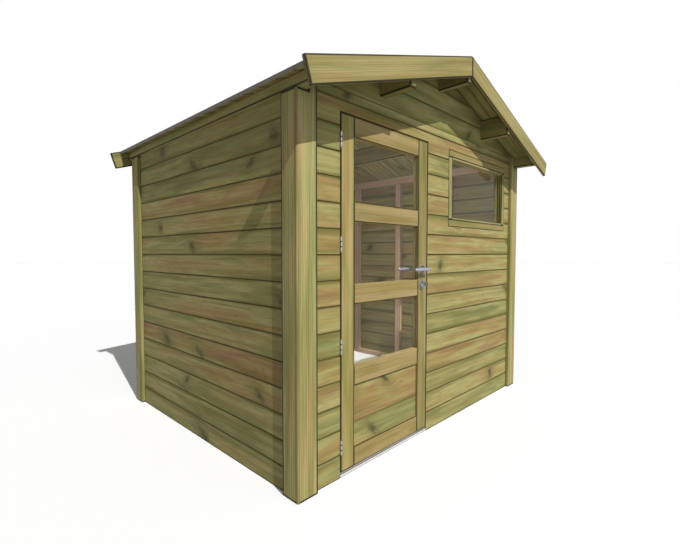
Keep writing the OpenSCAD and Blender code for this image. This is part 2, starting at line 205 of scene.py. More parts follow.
# How strongly the pine's marks show
BOARD_CHANCE = 0.55
PATCH_SHARE = 0.5
RING_DARK = 0.14
STREAK_DARK = 0.18
HALO_DARK = 0.45
CORE_DARK = 0.82
# Painted shade beside the joints: darker towards each board's long edges
BOARD_EDGE_SHADE = (0.02, 0.12, 0.3, 0.0)
BOARD_STAIN = (0.0, 0.4, 0.7, 0.0)
STAIN_DAMP = (0.2, 0.9)
# Painted shade where boards butt on a post or the ground: its reach and strength
BUTT_SHADE_STEP = (0.003, 0.009, 0.85, 0.0)
END_STEP = (0.75, 0.95)
END_COVER = 0.55
ROOF_END_COVER = 0.95
PINE_ROUGH = (0.62, 0.8)
PINE_SHINE = 0.25
PINE_BUMP = {"Strength": 0.35, "Distance": 0.0008}
DARK_ARRIS = 0.12
FRAME_ARRIS = 0.45
WORN_ARRIS = 0.8

# Metal, glass and felt
METAL_WORN = 0.82
BRUSH_STEP = (0.2, 0.8)
METAL_SPREAD = 0.14
METAL_BUMP = {"Strength": 0.08, "Distance": 0.0003}
GLASS_TINT = (0.92, 0.92, 0.92, 1.0)
GLASS_SHADOW = (0.84, 0.84, 0.82, 1.0)
GLASS_CLEAR = 0.99
GLASS_IOR = 1.1
HAZE_SCALE = (5, 5, 3)
HAZE_STEP = (0.3, 0.8, 0.0, 0.03)
GRIT_SCALE = 420.0
GRIT_ROUGH = (0.8, 0.95)
GRIT_BUMP = {"Strength": 0.6, "Distance": 0.0009}
MOSS_SCALE = (4, 4, 4)
MOSS_STEP = (0.35, 0.7, 0.0, 0.4)

# View and light
CAMERA_PLACE = (-2.4423, -2.3848, 1.1634)
CAMERA_YAW = 0.7975
CAMERA_PITCH = -0.045
CAMERA_LENS = 21.844
SENSOR_W = 36
SUN_PLACE = (-1, -6, 6)
SUN_TRAVEL = (0.2, 1.0, -0.98)
SUN_STRENGTH = 3.3
SUN_ANGLE = math.radians(0.6)
SKY_STRENGTH = 0.205
FLOOR_SIZE = 120
FLOOR_BOUNCE = 0.43
FLOOR_SEEN = 1.0
FLOOR_GLOW = 0.055
FILL_PLACE = (0.3, -7.0, 1.2)
FILL_SIZE = (6.0, 3.0)
FILL_LIGHT = 78.0
FILL_COLOUR = (0.66, 0.82, 1.0)
ROOM_PLACE = (0, 0, 1.0)
ROOM_LIGHT = 20.0
ROOM_LIGHT_R = 0.4


# Modelling by hand

def only(piece):
    """Leaves one object selected and active."""
    bpy.ops.object.select_all(action="DESELECT")
    piece.select_set(True)
    bpy.context.view_layer.objects.active = piece


def settle(piece):
    """Puts an object's place, turn and scale into its mesh."""
    only(piece)
    bpy.ops.object.transform_apply(location=True, rotation=True, scale=True)
    return piece


@contextlib.contextmanager
def editing(piece, kind):
    """Edit mode on one piece, selecting faces, edges or vertices."""
    only(piece)
    bpy.ops.object.mode_set(mode="EDIT")
    bpy.ops.mesh.select_mode(type=kind)
    yield
    bpy.ops.object.mode_set(mode="OBJECT")


def pick_faces(piece, wanted):
    """Selects the faces that a test on their middle and normal wants."""
    bpy.ops.mesh.select_all(action="DESELECT")
    shape = bmesh.from_edit_mesh(piece.data)
    for face in shape.faces:
        face.select_set(bool(wanted(face.calc_center_median(), face.normal)))
    bmesh.update_edit_mesh(piece.data)


def pick_edges(piece, wanted):
    """Selects the edges that a test on their middle and direction wants."""
    bpy.ops.mesh.select_all(action="DESELECT")
    shape = bmesh.from_edit_mesh(piece.data)
    for edge in shape.edges:
        low, high = (corner.co for corner in edge.verts)
        edge.select_set(bool(wanted((low + high) / 2, (high - low).normalized())))
    bmesh.update_edit_mesh(piece.data)


def paint(piece, place, wanted):
    """Gives one of the piece's materials to the faces that a test wants."""
    with editing(piece, "FACE"):
        pick_faces(piece, wanted)
        piece.active_material_index = place
        bpy.ops.object.material_slot_assign()


def pull(offset):
    """Extrudes what is selected."""
    bpy.ops.mesh.extrude_region_move(TRANSFORM_OT_translate={"value": offset})


def grow(factor, middle):
    """Scales what is selected about a point."""
    bpy.ops.transform.resize(value=factor, center_override=middle)


def finish_with(piece, kind, **settings):
    """Adds a modifier and applies it."""
    only(piece)
    bpy.ops.object.modifier_add(type=kind)
    modifier = piece.modifiers[-1]
    for key, value in settings.items():
        setattr(modifier, key, value)
    bpy.ops.object.modifier_apply(modifier=modifier.name)


def repeated(piece, count, step):
    """Repeats a piece at even steps, within its own mesh."""
    finish_with(
        piece, "ARRAY", count=count, use_relative_offset=False, use_constant_offset=True,
        constant_offset_displace=step)


def smooth(piece):
    """Shades a turned piece smoothly up to its sharp edges."""
    only(piece)
    bpy.ops.object.shade_smooth_by_angle(angle=SMOOTH_ANGLE)
    return piece


def dress(piece, *materials):
    """Gives a piece its materials."""
    piece.data.materials.clear()
    for material in materials:
        piece.data.materials.append(material)


def block(name, low, high):
    """A cuboid between two corners, as a start for a piece."""
    low, high = Vector(low), Vector(high)
    bpy.ops.object.select_all(action="DESELECT")
    bpy.ops.mesh.primitive_cube_add(size=1, location=(low + high) / 2, scale=high - low)
    piece = bpy.context.object
    piece.name = name
    return settle(piece)


def rod(name, low, high, radius, sides=32):
    """A round bar between two points that differ along one axis, as a start for a piece."""
    low, high = Vector(low), Vector(high)
    turn = Vector((0, 0, 1)).rotation_difference(high - low).to_euler()
    bpy.ops.object.select_all(action="DESELECT")
    bpy.ops.mesh.primitive_cylinder_add(
        vertices=sides, radius=radius, depth=(high - low).length, location=(low + high) / 2, rotation=turn)
    piece = bpy.context.object
    piece.name = name
    return settle(piece)


def join(pieces, name):
    """Makes one object of several."""
    only(pieces[0])
    for piece in pieces:
        piece.select_set(True)
    bpy.ops.object.join()
    pieces[0].name = name
    return pieces[0]


def copied(piece):
    """A copy with a mesh of its own."""
    only(piece)
    bpy.ops.object.duplicate(linked=False)
    return bpy.context.object


def on_other_face(piece, middle_y):
    """A copy turned over to the other face of the door."""
    twin = copied(piece)
    with editing(twin, "FACE"):
        bpy.ops.mesh.select_all(action="SELECT")
        grow((1, -1, 1), (0, middle_y, 0))
        bpy.ops.mesh.flip_normals()
    return twin


def cad_copy(name, node):
    """A copy of a CAD node's mesh with its loose triangles merged into whole faces."""
    piece = bpy.data.objects.new(name, frame["nodes"][node].data.copy())
    bpy.context.scene.collection.objects.link(piece)
    only(piece)
    bpy.ops.mesh.customdata_custom_splitnormals_clear()
    with editing(piece, "VERT"):
        bpy.ops.mesh.select_all(action="SELECT")
        bpy.ops.mesh.remove_doubles(threshold=MERGE)
        bpy.ops.mesh.dissolve_limited(angle_limit=FLAT_ANGLE)
    return piece


def fit_to(piece, node):
    """Trims a piece to the outline of a CAD node, openings and notches included."""
    outline = cad_copy("outline", node)
    finish_with(piece, "BOOLEAN", operation="INTERSECT", solver="EXACT", object=outline)
    bpy.data.objects.remove(outline)


def stand_for(piece, node):
    """Puts a piece in the place of a CAD node, on the node's own body."""
    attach(piece, frame["nodes"][node]["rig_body"])
    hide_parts(node)
    return piece


# Shader nodes

def tone(code):
    """Linear colour of a six-figure colour code."""
    parts = [int(code[i:i + 2], 16) / 255 for i in (0, 2, 4)]
    return [c / 12.92 if c <= 0.04045 else ((c + 0.055) / 1.055) ** 2.4 for c in parts] + [1.0]


def tones(*codes):
    """Linear colours of several codes."""
    return [tone(code) for code in codes]


def grey(level):
    """A plain grey, from 0 for black to 1 for white."""
    return (level, level, level, 1.0)


def add(tree, kind, inputs=None, **settings):
    """Adds a shader node, and sets or links its inputs by name or number."""
    made = tree.nodes.new("ShaderNode" + kind)
    for key, value in settings.items():
        setattr(made, key, value)
    for key, value in (inputs or {}).items():
        if isinstance(value, bpy.types.NodeSocket):
            tree.links.new(value, made.inputs[key])
        else:
            made.inputs[key].default_value = value
    return made


def calc(tree, operation, *values):
    """A step of arithmetic."""
    return add(tree, "Math", dict(enumerate(values)), operation=operation).outputs[0]


def hypotenuse(tree, first, second):
    """Distance that two square steps add up to."""
    squares = calc(tree, "ADD", calc(tree, "POWER", first, 2.0), calc(tree, "POWER", second, 2.0))
    return calc(tree, "SQRT", squares)


def spread(tree, value, low, high):
    """Stretches a value from 0 to 1 over a range."""
    return calc(tree, "MULTIPLY_ADD", value, high - low, low)


def ramp(tree, value, low, high, start=0.0, end=1.0):
    """Smooth step of a value from low to high."""
    inputs = {"Value": value, "From Min": low, "From Max": high, "To Min": start, "To Max": end}
    return add(tree, "MapRange", inputs, interpolation_type="SMOOTHSTEP").outputs[0]


def blend(tree, factor, first, second, mode="MIX"):
    """Mixes two colours."""
    made = add(tree, "Mix", {0: factor, 6: first, 7: second}, data_type="RGBA", blend_type=mode)
    return made.outputs[2]


def vector(tree, x, y, z):
    """A place from its three parts."""
    return add(tree, "CombineXYZ", {0: x, 1: y, 2: z}).outputs[0]


def mapped(tree, place, **settings):
    """A place that is turned or scaled by a Mapping node."""
    return add(tree, "Mapping", {"Vector": place, **settings}).outputs[0]


def noise(tree, place, detail=3.0, roughness=0.55):
    """Soft noise from 0 to 1."""
    inputs = {"Vector": place, "Scale": 1.0, "Detail": detail, "Roughness": roughness}
    return add(tree, "TexNoise", inputs).outputs["Fac"]


def tone_ramp(tree, value, colours):
    """Colours spaced evenly over a value from 0 to 1."""
    made = add(tree, "ValToRGB", {0: value})
    stops = made.color_ramp.elements
    while len(stops) < len(colours):
        stops.new(0.5)
    for i, colour in enumerate(colours):
        stops[i].position = i / (len(colours) - 1)
        stops[i].color = colour
    return made.outputs["Color"]


def new_group(name, inputs, outputs):
    """A shader node group with named sockets; gives the tree, its inputs and its outputs."""
    tree = bpy.data.node_groups.new(name, "ShaderNodeTree")
    for label in inputs:
        tree.interface.new_socket(label, in_out="INPUT", socket_type="NodeSocketFloat")
    for label in outputs:
        tree.interface.new_socket(label, in_out="OUTPUT", socket_type="NodeSocketFloat")
    start = tree.nodes.new("NodeGroupInput")
    end = tree.nodes.new("NodeGroupOutput")
    return tree, start.outputs, end.inputs


def place_group(tree, group, inputs):
    """Places a node group in a tree; gives its outputs."""
    return add(tree, "Group", inputs, node_tree=group).outputs


def new_material(name):
    """An empty node material; gives the material, its tree and its Principled shader."""
    material = bpy.data.materials.new(name)
    material.use_nodes = True
    tree = material.node_tree
    return material, tree, tree.nodes["Principled BSDF"]


# Effects that the pine materials share

def board_count_group():
    """Which board a point lies on, and how far up the board."""
    tree, given, result = new_group("board_count", ("Across", "First", "Cover"), ("Number", "Place"))
    boards = calc(tree, "DIVIDE", calc(tree, "SUBTRACT", given["Across"], given["First"]), given["Cover"])
    tree.links.new(calc(tree, "FLOOR", boards), result["Number"])
    tree.links.new(calc(tree, "FRACT", boards), result["Place"])
    return tree


def knot_group():
    """Slanting oval knots, now and then along each board, with a darker core and a wide soft halo."""
    inputs = ("Along", "Place", "Number", "Cover", "Spacing", "Share", "Width")
    tree, given, result = new_group("knots", inputs, ("Core", "Halo", "Push"))
    steps = calc(tree, "DIVIDE", given["Along"], given["Spacing"])
    steps = calc(tree, "ADD", steps, calc(tree, "MULTIPLY", given["Number"], KNOT_SHIFT))
    cells = add(tree, "TexVoronoi", {"W": steps, "Scale": 1.0}, voronoi_dimensions="1D")
    chance = add(tree, "SeparateColor", {0: cells.outputs["Color"]}).outputs
    run = calc(tree, "MULTIPLY", calc(tree, "SUBTRACT", steps, cells.outputs["W"]), given["Spacing"])
    middle = spread(tree, chance["Blue"], *KNOT_PLACES)
    climb = calc(tree, "MULTIPLY", calc(tree, "SUBTRACT", given["Place"], middle), given["Cover"])
    slant = calc(tree, "MULTIPLY", spread(tree, chance["Blue"], -KNOT_SLANT, KNOT_SLANT), climb)
    wide = calc(tree, "DIVIDE", calc(tree, "ADD", run, slant), given["Width"])
    tall = calc(tree, "DIVIDE", climb, KNOT_H)
    size = spread(tree, chance["Green"], *KNOT_SIZES)
    fray_x, fray_y = (calc(tree, "MULTIPLY", way, scale) for way, scale in zip((run, climb), KNOT_FRAY))
    ragged = spread(tree, noise(tree, vector(tree, fray_x, fray_y, steps)), -KNOT_RAGGED, KNOT_RAGGED)
    away = calc(tree, "ADD", calc(tree, "DIVIDE", hypotenuse(tree, wide, tall), size), ragged)
    here = calc(tree, "LESS_THAN", chance["Red"], given["Share"])
    core = calc(tree, "MULTIPLY", here, ramp(tree, away, *KNOT_CORE, 1.0, 0.0))
    halo = calc(tree, "MULTIPLY", here, ramp(tree, away, *KNOT_HALO, 1.0, 0.0))
    tree.links.new(core, result["Core"])
    tree.links.new(halo, result["Halo"])
    tree.links.new(calc(tree, "MULTIPLY", calc(tree, "MULTIPLY", climb, halo), KNOT_PUSH), result["Push"])
    return tree


def pine_grain_group():
    """Growth rings, fine streaks, and the long patches and bands that run with the grain."""
    inputs = ("Along", "Across", "Depth", "Number", "Ring")
    tree, given, result = new_group("pine_grain", inputs, ("Rings", "Streak", "Patch", "Band"))
    shift = calc(tree, "MULTIPLY", given["Number"], GRAIN_SHIFT)

    def figure(stretch, *fineness):
        """Noise that is drawn out along the grain."""
        along, across, offset = stretch
        moved = calc(tree, "ADD", shift, offset)
        place = vector(
            tree,
            calc(tree, "ADD", calc(tree, "MULTIPLY", given["Along"], along), moved),
            calc(tree, "MULTIPLY", given["Across"], across),
            calc(tree, "MULTIPLY", given["Depth"], across),
        )
        return noise(tree, place, *fineness)

    wander = calc(tree, "SUBTRACT", figure(WANDER), 0.5)
    ripple = calc(tree, "SUBTRACT", figure(RIPPLE), 0.5)
    side = calc(tree, "MULTIPLY_ADD", wander, HEART_SWAY[0], given["Across"])
    deep = calc(tree, "MULTIPLY_ADD", wander, HEART_SWAY[1], calc(tree, "ADD", given["Depth"], HEART_DEPTH))
    turns = calc(tree, "DIVIDE", hypotenuse(tree, side, deep), given["Ring"])
    turns = calc(tree, "ADD", turns, calc(tree, "MULTIPLY", ripple, RIPPLE_TURNS))
    wave = calc(tree, "SINE", calc(tree, "MULTIPLY", turns, math.tau))
    tree.links.new(ramp(tree, wave, *RING_STEP), result["Rings"])
    tree.links.new(ramp(tree, figure(STREAK, *FINE_DETAIL), *STREAK_STEP), result["Streak"])
    tree.links.new(ramp(tree, figure(PATCH, *SOFT_DETAIL), *PATCH_STEP), result["Patch"])
    tree.links.new(ramp(tree, figure(BAND, *SOFT_DETAIL), *BAND_STEP), result["Band"])
    return tree


BOARD_COUNT = board_count_group()
KNOTS = knot_group()
PINE_GRAIN = pine_grain_group()


# Pine

BAND_TONE = tone("91793a")
LINE_TONE = tone("64572c")
HALO_TONE = tone("6f6a38")
CORE_TONE = tone("3b341c")
# Colour of the painted shade beside the board joints
BOARD_EDGE_SHADE_TONE = tone("5f5329")
STAIN_TONE = tone("65652f")
# Colour of the painted shade where boards butt
BUTT_SHADE_TONE = tone("332c16")
END_TONE = tone("6e5f36")
ROOF_END_TONE = tone("8d897b")


def pine(name, colours, turn=(0, 0, 0), first=0.0, cover=0.0, seed=0.0, knots=0.0, lines=1.0, bands=0.4,
         shade=1.0, ring=FINE_RING, end_tone=END_TONE, end_cover=END_COVER, stops=None, knot_w=KNOT_W,
         knot_step=KNOT_STEP):
    """Treated pine with its grain along X after the turn; with a cover, boards that lie one above the other.

    The stops, where boards butt (their start, their end and their foot), get a painted shade beside them.
    """
    material, tree, surface = new_material(name)
    place = add(tree, "TexCoord").outputs
    along, depth, across = add(tree, "SeparateXYZ", {0: mapped(tree, place["Object"], Rotation=turn)}).outputs
    level = across
    facing = {"Vector": place["Normal"], "Rotation": turn}
    facing = add(tree, "Mapping", facing, vector_type="VECTOR").outputs[0]
    end = calc(tree, "ABSOLUTE", add(tree, "SeparateXYZ", {0: facing}).outputs[0])
    number = seed
    if cover:
        counted = place_group(tree, BOARD_COUNT, {"Across": across, "First": first, "Cover": cover})
        number = calc(tree, "ADD", counted["Number"], seed)
        chance = add(tree, "TexWhiteNoise", {"W": number}, noise_dimensions="1D").outputs["Color"]
        chance = add(tree, "SeparateColor", {0: chance}).outputs
        knot = place_group(tree, KNOTS, {
            "Along": along, "Place": counted["Place"], "Number": number, "Cover": cover,
            "Spacing": knot_step, "Share": knots, "Width": knot_w})
        centred = calc(tree, "SUBTRACT", counted["Place"], chance["Green"])
        across = calc(tree, "MULTIPLY", centred, cover)
        across = calc(tree, "SUBTRACT", across, knot["Push"])
    grain = place_group(tree, PINE_GRAIN, {
        "Along": along, "Across": across, "Depth": depth, "Number": number, "Ring": ring})
    value = grain["Patch"]
    if cover:
        value = calc(tree, "MULTIPLY", value, PATCH_SHARE)
        value = calc(tree, "MULTIPLY_ADD", chance["Red"], BOARD_CHANCE, value)
    colour = tone_ramp(tree, value, colours)
    colour = blend(tree, calc(tree, "MULTIPLY", grain["Band"], bands), colour, BAND_TONE)
    dark = calc(tree, "MULTIPLY", grain["Rings"], RING_DARK * lines)
    dark = calc(tree, "MULTIPLY_ADD", grain["Streak"], STREAK_DARK * lines, dark)
    colour = blend(tree, dark, colour, LINE_TONE)
    height = calc(tree, "ADD", grain["Rings"], grain["Streak"])
    if cover:
        colour = blend(tree, calc(tree, "MULTIPLY", knot["Halo"], HALO_DARK), colour, HALO_TONE)
        colour = blend(tree, calc(tree, "MULTIPLY", knot["Core"], CORE_DARK), colour, CORE_TONE)
        height = calc(tree, "SUBTRACT", height, knot["Core"])
        edge = calc(tree, "PINGPONG", counted["Place"], 0.5)
        # Painted shade, deepening towards each board's long edges beside the joints
        colour = blend(tree, ramp(tree, edge, *BOARD_EDGE_SHADE), colour, BOARD_EDGE_SHADE_TONE)
        damp = ramp(tree, grain["Band"], *STAIN_DAMP)
        stain = calc(tree, "MULTIPLY", ramp(tree, edge, *BOARD_STAIN), damp)
        colour = blend(tree, stain, colour, STAIN_TONE)
    # Painted shade: the boards darken within a few millimetres of where they butt on a post or the ground
    if stops:
        near = calc(tree, "SUBTRACT", along, stops[0])
        far = calc(tree, "SUBTRACT", stops[1], along)
        rise = calc(tree, "SUBTRACT", level, stops[2])
        nearest = calc(tree, "MINIMUM", calc(tree, "MINIMUM", near, far), rise)
        colour = blend(tree, ramp(tree, nearest, *BUTT_SHADE_STEP), colour, BUTT_SHADE_TONE)
    colour = blend(tree, ramp(tree, end, *END_STEP, 0.0, end_cover), colour, end_tone)
    if shade < 1.0:
        colour = blend(tree, 1.0, colour, grey(shade), "MULTIPLY")
    bump = add(tree, "Bump", {**PINE_BUMP, "Height": height}, invert=True)
    tree.links.new(colour, surface.inputs["Base Color"])
    tree.links.new(ramp(tree, grain["Streak"], 0.0, 1.0, *PINE_ROUGH), surface.inputs["Roughness"])
    tree.links.new(bump.outputs[0], surface.inputs["Normal"])
    surface.inputs["Specular IOR Level"].default_value = PINE_SHINE
    return material


# Grain directions, as turns that bring the grain to X
GRAIN = {
    "x": (0, 0, 0),
    "y": (0, 0, -math.pi / 2),
    "z": (0, math.pi / 2, 0),
    "left_slope": (0, ROOF_PITCH, 0),
    "right_slope": (0, -ROOF_PITCH, 0),
}
BOARD_TONES = tones("757843", "929058", "aba268", "a58e58", "987751")
PLANED_TONES = tones("83814c", "9d955e", "ab9b65")
POST_TONES = tones("9a9d5f", "b1ac70", "c4aa74")
STILE_TONES = tones("8f8c4c", "aea063", "bfa170")
LOCK_STILE_TONES = tones("7a7741", "958c57", "9f9060")
RAIL_TONES = tones("91804c", "a79460", "b09668")
FRAME_TONES = tones("d3b194", "dcbc9e", "e2c3a6")
PALE_TONES = tones("d3d1cc", "e2e0dc")
JOINT_TONES = tones("5a4f27", "64562f")
SOFT_JOINT_TONES = tones("77743c", "7d7840")


def timber_pair(name, colours, grain, lines=1.0, bands=0.5, shade=DARK_ARRIS):
    """A planed timber and its darker eased edge."""
    look = {"lines": lines, "bands": bands, "ring": WIDE_RING}
    return (
        pine(name, colours, GRAIN[grain], **look),
        pine(name + "_arris", colours, GRAIN[grain], shade=shade, **look),
    )


def frame_pair(grain):
    """Pale sawn timber of the frames behind the boards."""
    return timber_pair("frame_pine_" + grain, FRAME_TONES, grain, 0.8, 0.15, FRAME_ARRIS)


def board_pair(name, turn, first, cover, seed, knots=BOARD_KNOTS, joint=JOINT_TONES, **details):
    """Boards and the dark faces of their joints."""
    return (
        pine(name, BOARD_TONES, turn, first, cover, seed, knots, **details),
        pine(name + "_joint", joint, turn, first, cover, seed),
    )


PLANED = {grain: timber_pair("planed_pine_" + grain, PLANED_TONES, grain, 1.4) for grain in GRAIN}
POST = timber_pair("post_pine", POST_TONES, "z", 1.9)
WORN_POST = timber_pair("worn_post_pine", POST_TONES, "z", 1.9, shade=WORN_ARRIS)
BEAM = timber_pair("beam_pine", POST_TONES, "y", 1.2)
STILE = timber_pair("stile_pine", STILE_TONES, "z", 1.4)
LOCK_STILE = timber_pair("lock_stile_pine", LOCK_STILE_TONES, "z", 1.4)
RAIL = timber_pair("rail_pine", RAIL_TONES, "x", 1.2)
LINING = timber_pair("lining_pine", PLANED_TONES, "x", 0.4, 0.2)
PALE = timber_pair("pale_pine", PALE_TONES, "x", 0.4, 0.1)
FRAME = {grain: frame_pair(grain) for grain in ("x", "y", "z")}


# Metal, glass and felt

def metal(name, colour, roughness, grain, metallic=1.0):
    """Satin metal with a fine brushed finish."""
    material, tree, surface = new_material(name)
    place = add(tree, "TexCoord").outputs["Object"]
    fine = noise(tree, mapped(tree, place, Scale=grain))
    surface.inputs["Metallic"].default_value = metallic
    worn = [c * METAL_WORN for c in colour[:3]] + [1.0]
    tree.links.new(blend(tree, fine, colour, worn), surface.inputs["Base Color"])
    dull = ramp(tree, fine, *BRUSH_STEP, roughness, roughness + METAL_SPREAD)
    tree.links.new(dull, surface.inputs["Roughness"])
    bump = add(tree, "Bump", {**METAL_BUMP, "Height": fine})
    tree.links.new(bump.outputs[0], surface.inputs["Normal"])
    return material


def glass():
    """Grey glass with a thin film of dust, which lets the sun through."""
    material, tree, surface = new_material("grey_glass")
    place = add(tree, "TexCoord").outputs["Object"]
    haze = noise(tree, mapped(tree, place, Scale=HAZE_SCALE), 2.0)
    tree.links.new(ramp(tree, haze, *HAZE_STEP), surface.inputs["Roughness"])
    surface.inputs["Base Color"].default_value = GLASS_TINT
    surface.inputs["Transmission Weight"].default_value = GLASS_CLEAR
    surface.inputs["IOR"].default_value = GLASS_IOR
    clear = add(tree, "BsdfTransparent", {"Color": GLASS_SHADOW})
    path = add(tree, "LightPath").outputs["Is Shadow Ray"]
    mixed = add(tree, "MixShader", {0: path, 1: surface.outputs[0], 2: clear.outputs[0]})
    tree.links.new(mixed.outputs[0], tree.nodes["Material Output"].inputs["Surface"])
    return material


def felt():
    """Grey mineral roofing felt with its grit."""
    material, tree, surface = new_material("mineral_felt")
    place = add(tree, "TexCoord").outputs["Object"]
    grit = add(tree, "TexVoronoi", {"Vector": place, "Scale": GRIT_SCALE}).outputs
    moss = noise(tree, mapped(tree, place, Scale=MOSS_SCALE))
    speck = add(tree, "SeparateColor", {0: grit["Color"]}).outputs["Red"]
    colour = blend(tree, speck, tone("4a4a47"), tone("77766f"))
    colour = blend(tree, ramp(tree, moss, *MOSS_STEP), colour, tone("565a4c"))
    bump = add(tree, "Bump", {**GRIT_BUMP, "Height": grit["Distance"]}, invert=True)
    tree.links.new(colour, surface.inputs["Base Color"])
    tree.links.new(ramp(tree, speck, 0.0, 1.0, *GRIT_ROUGH), surface.inputs["Roughness"])
    tree.links.new(bump.outputs[0], surface.inputs["Normal"])
    return material


STEEL = metal("satin_steel", tone("b4b6ba"), 0.26, (400, 400, 900))
SATIN = metal("satin_aluminium", tone("a9abb4"), 0.38, (900, 400, 400), 0.5)
# Steel painted dark as shade, for the rims of the hinge knuckles at their gaps
GAP_SHADE_STEEL = metal("steel_painted_gap_shade", tone("3c3a34"), 0.5, (400, 400, 900))
BRASS = metal("lock_brass", tone("b9a36a"), 0.3, (600, 600, 600))
GLASS = glass()
FELT_GREY = felt()


# Pieces that keep their CAD outline and get eased edges

def darken_edges(piece, line):
    """Carries the dark of the eased edges a little way onto the wide faces."""
    with editing(piece, "FACE"):
        shape = bmesh.from_edit_mesh(piece.data)
        for face in shape.faces:
            width = 2 * face.calc_area() / face.calc_perimeter()
            face.select_set(face.material_index == FACE and width > LINED_WIDTH)
        bmesh.update_edit_mesh(piece.data)
        bpy.ops.mesh.inset(thickness=line)
        shape = bmesh.from_edit_mesh(piece.data)
        for face in shape.faces:
            beside = (other for edge in face.edges for other in edge.link_faces)
            if not face.select and any(other.select for other in beside):
                face.material_index = EDGE
        bmesh.update_edit_mesh(piece.data)


def eased(node, materials, width=ARRIS, line=0.0):
    """A CAD node's own shape with eased edges in the second material, and lines beside them if wanted."""
    piece = cad_copy(node + "_timber", node)
    dress(piece, *materials)
    finish_with(
        piece, "BEVEL", width=width, segments=2, limit_method="ANGLE", angle_limit=EASED_ANGLE, material=EDGE)
    if line:
        darken_edges(piece, line)
    return stand_for(piece, node)


def corner_posts():
    """Posts with dark edges, apart from their pale tops and one worn pale edge at the front left."""
    rim = ARRIS + WIDE_LINE
    for end in ("front_left", "front_right", "back_left", "back_right"):
        node = "corner_post_" + end
        post = eased(node, POST + WORN_POST[EDGE:], line=WIDE_LINE)
        corner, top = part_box(node)
        paint(post, BARE, lambda middle, normal: (
            max(middle.x - corner.x, middle.y - corner.y) < rim or middle.z > top.z - POST_CROWN))


def wall_frames():
    """Plates, studs and rails behind the boards, and the door's head and jambs."""
    for node in ("back_wall_plates", "front_wall_plates", "front_wall_rails", "door_head"):
        eased(node, FRAME["x"], FINE_ARRIS)
    eased("side_wall_plates", FRAME["y"], FINE_ARRIS)
    for node in ("side_wall_studs", "back_wall_studs", "front_wall_studs", "door_jambs"):
        eased(node, FRAME["z"], FINE_ARRIS)


def eave_beams():
    """Beams with plain tops, pale like the frames on the side towards the room."""
    beams = eased("eave_beams", BEAM + FRAME["y"][:1], FINE_ARRIS, EDGE_LINE)
    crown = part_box("eave_beams")[1].z - BEAM_CROWN
    front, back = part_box("front_gable")[1].y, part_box("back_gable")[0].y
    with editing(beams, "FACE"):
        for end in (front, back):
            bpy.ops.mesh.select_all(action="SELECT")
            bpy.ops.mesh.bisect(plane_co=(0, end, 0), plane_no=(0, 1, 0))
    paint(beams, FACE, lambda middle, normal: middle.z > crown)
    paint(beams, BARE, lambda middle, normal: normal.x * middle.x < -MAINLY and front < middle.y < back)


def roof_timbers():
    """Purlins, beams, battens and bargeboards."""
    for node in ("purlins", "ridge_beam"):
        eased(node, PLANED["y"], line=EDGE_LINE)
    eave_beams()
    eased("verge_battens", PLANED["x"], FINE_ARRIS)
    for end in ("front", "back"):
        for side in ("left", "right"):
            eased(end + "_bargeboard_" + side, PLANED[side + "_slope"], line=EDGE_LINE)


# Tongued and grooved boards

def tongued_board(name, low, high, along, across, materials):
    """One board with chamfered long edges, a tongue on its far edge and a groove in its near edge."""
    board = block(name, low, high)
    dress(board, *materials)
    up = Vector([1.0 if axis == across else 0.0 for axis in range(3)])
    with editing(board, "EDGE"):
        pick_edges(board, lambda middle, run: abs(run[along]) > ALIGNED)
        bpy.ops.mesh.bevel(offset=CHAMFER, segments=1, affect="EDGES", material=EDGE)
    with editing(board, "FACE"):
        pick_faces(board, lambda middle, normal: normal[across] > ALIGNED)
        bpy.ops.mesh.inset(thickness=SHOULDER)
        pull(up * TONGUE)
        pick_faces(board, lambda middle, normal: normal[across] < -ALIGNED)
        bpy.ops.mesh.inset(thickness=SHOULDER - BOARD_GAP / 4)
        pull(up * (TONGUE + BOARD_GAP))
    return board


def clad(node, along, first, seed, butted=(True, True), grounded=True, knots=BOARD_KNOTS):
    """Level boards cut to the wall's outline, with painted shade where they butt on a post or the ground."""
    low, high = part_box(node)
    stops = (
        low[along] - (0 if butted[0] else OUT_OF_REACH),
        high[along] + (0 if butted[1] else OUT_OF_REACH),
        low.z - (0 if grounded else OUT_OF_REACH),
    )
    turn, knot_w = (GRAIN["x"], KNOT_W) if along == X else (GRAIN["y"], SIDE_KNOT_W)
    name = node + "_boards"
    materials = board_pair(name, turn, first, BOARD_COVER, seed, knots, stops=stops, knot_w=knot_w)
    start = first + BOARD_COVER * math.floor((low.z - first) / BOARD_COVER + JOINT_SLACK)
    count = math.ceil((high.z - start) / BOARD_COVER)
    skin = Vector((BOARD_SKIN, BOARD_SKIN, 0))
    skin[along] = -OVERSHOOT
    low = Vector((low.x, low.y, start + BOARD_GAP / 2)) + skin
    high = Vector((high.x, high.y, start + BOARD_COVER - BOARD_GAP / 2)) - skin
    board = tongued_board(name, low, high, along, Z, materials)
    repeated(board, count, (0, 0, BOARD_COVER))
    fit_to(board, node)
    stand_for(board, node)


def walls():
    """The boards of all walls and gables; those of the front share a seed, so that they run on."""
    clad("left_wall", Y, FIRST_JOINT, 40.0)
    clad("right_wall", Y, FIRST_JOINT, 80.0)
    clad("back_wall", X, FIRST_JOINT, 120.0)
    clad("front_wall_left", X, FIRST_JOINT, 0.0, (True, False), knots=FRONT_KNOTS)
    clad("front_wall_right", X, FIRST_JOINT, 0.0, (False, True), knots=FRONT_KNOTS)
    clad("front_wall_over_door", X, FIRST_JOINT, 0.0, (False, False), False)
    gable_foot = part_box("front_gable")[0].z
    clad("front_gable", X, gable_foot, 160.0, (False, False), False)
    clad("back_gable", X, gable_foot, 200.0, (False, False), False)


# Roof boards and felt, laid flat from the eave to the ridge and then tilted

